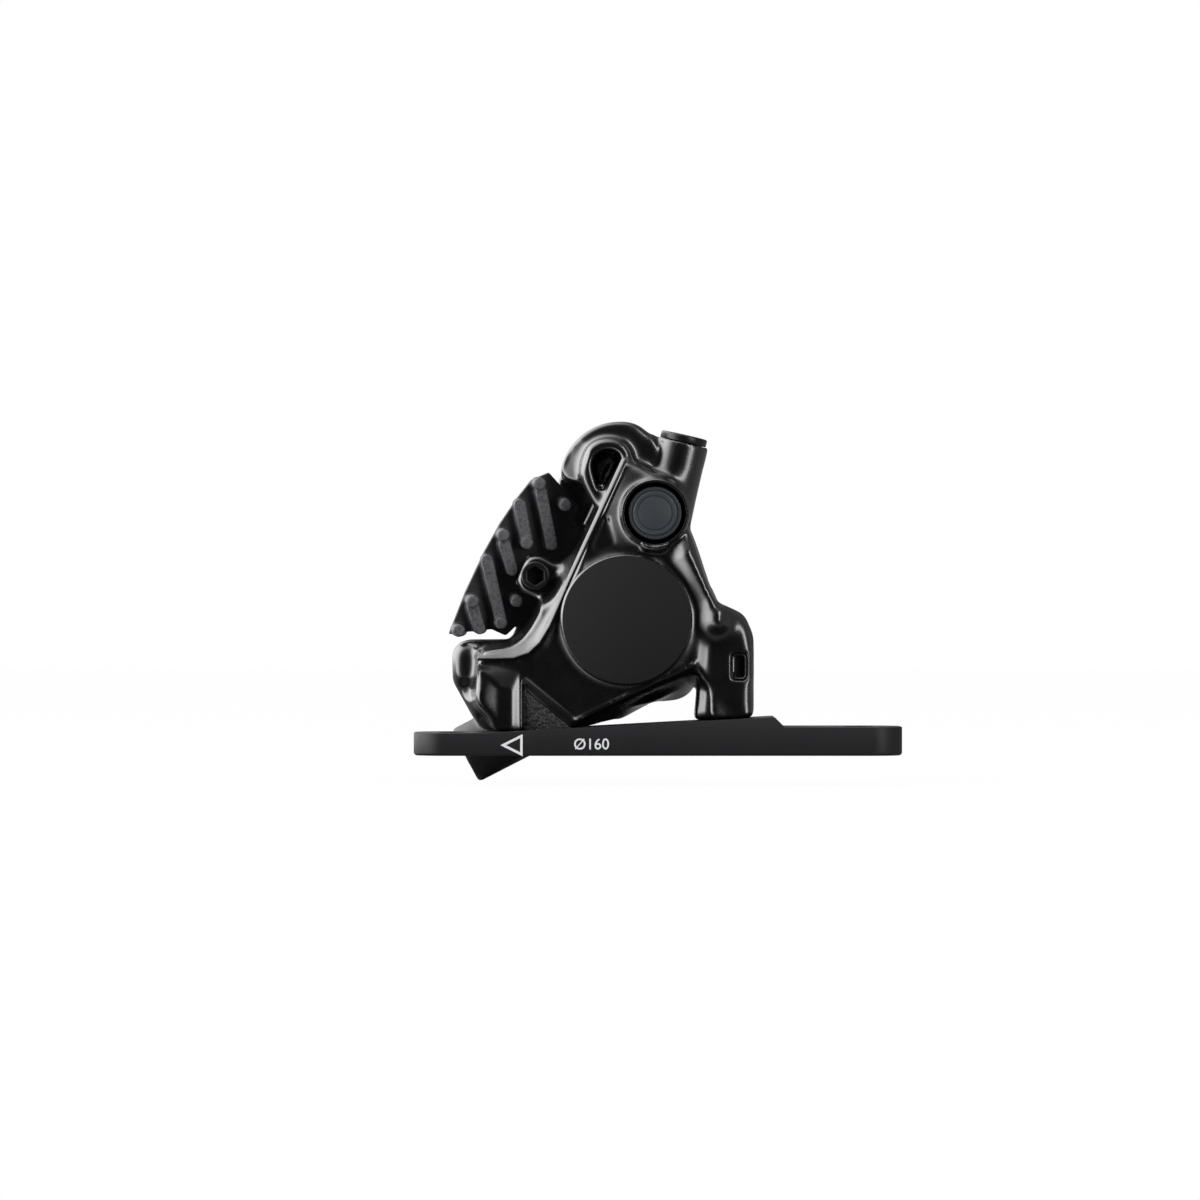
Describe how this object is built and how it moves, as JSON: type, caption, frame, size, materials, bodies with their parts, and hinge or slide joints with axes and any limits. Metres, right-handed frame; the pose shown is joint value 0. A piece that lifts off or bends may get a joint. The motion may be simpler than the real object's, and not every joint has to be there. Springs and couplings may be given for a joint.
{
  "type": "bicycle disc brake caliper",
  "caption": "Road hydraulic disc brake caliper on a flat-mount fork adapter: finned pads are pushed together on a rotor by opposed pistons; has a hose port and bleed fittings.",
  "frame": {"origin": "middle of the adapter's underside, which rests on the fork, halfway between the fork screws", "axes": "+X along the adapter towards the wheel axle, +Z away from the fork, +Y inboard to the rotor"},
  "size_m": [0.084, 0.0413, 0.0627],
  "materials": {
    "body_gloss_black": "gloss black paint over cast aluminium",
    "bracket_matte_black": "matte black anodised aluminium",
    "fin_grey": "cast aluminium, dark grey and matte",
    "black_steel": "black oxide",
    "bright_steel": "bright",
    "plate_steel": "dark plated",
    "friction_resin": "resin friction compound",
    "piston_resin": "ceramic-filled resin",
    "seal_rubber": "matte",
    "plug_rubber": "slate grey, matte"
  },
  "bodies": {
    "caliper": {"outer_body": "body_gloss_black", "inner_body": "body_gloss_black", "body_bolts": "black_steel", "transfer_o_ring": "seal_rubber", "pad_axle": "black_steel", "pad_axle_clip": "bright_steel", "pad_spring": "bright_steel", "bleed_nipple": "bright_steel", "outer_piston_seal": "seal_rubber", "inner_piston_seal": "seal_rubber", "mount_bracket": "bracket_matte_black", "bracket_bolts": "black_steel", "bleed_screw_o_ring": "seal_rubber"},
    "outer_piston": {"outer_piston": "piston_resin"},
    "inner_piston": {"inner_piston": "piston_resin"},
    "outer_pad": {"outer_pad_plate": "plate_steel", "outer_pad_friction": "friction_resin", "outer_pad_fin": "fin_grey"},
    "inner_pad": {"inner_pad_plate": "plate_steel", "inner_pad_friction": "friction_resin", "inner_pad_fin": "fin_grey"},
    "bleed_screw": {"bleed_screw": "body_gloss_black"},
    "nipple_cap": {"bleed_nipple_cap": "plug_rubber"}
  },
  "joints": [
    {"name": "outer_piston_slide", "type": "slide", "parent": "caliper", "child": "outer_piston", "axis": [0, 1, 0], "range_m": [0, 0.0011]},
    {"name": "inner_piston_slide", "type": "slide", "parent": "caliper", "child": "inner_piston", "axis": [0, -1, 0], "range_m": [0, 0.0011]},
    {"name": "outer_pad_slide", "type": "slide", "parent": "caliper", "child": "outer_pad", "axis": [0, 1, 0], "range_m": [0, 0.0011]},
    {"name": "inner_pad_slide", "type": "slide", "parent": "caliper", "child": "inner_pad", "axis": [0, -1, 0], "range_m": [0, 0.0011]},
    {"name": "bleed_screw_turn", "type": "hinge", "parent": "caliper", "child": "bleed_screw", "pos_m": [0.00439, 0.004, 0.05398], "axis": [0.2215, 0, 0.9751], "range_deg": [0, 90]},
    {"name": "nipple_cap_pull", "type": "slide", "parent": "caliper", "child": "nipple_cap", "axis": [0, -1, 0], "range_m": [0, 0.008]}
  ],
  "couplings": [
    {"joint": "inner_piston_slide", "follows": "outer_piston_slide", "ratio": 1},
    {"joint": "outer_pad_slide", "follows": "outer_piston_slide", "ratio": 1},
    {"joint": "inner_pad_slide", "follows": "outer_piston_slide", "ratio": 1}
  ]
}
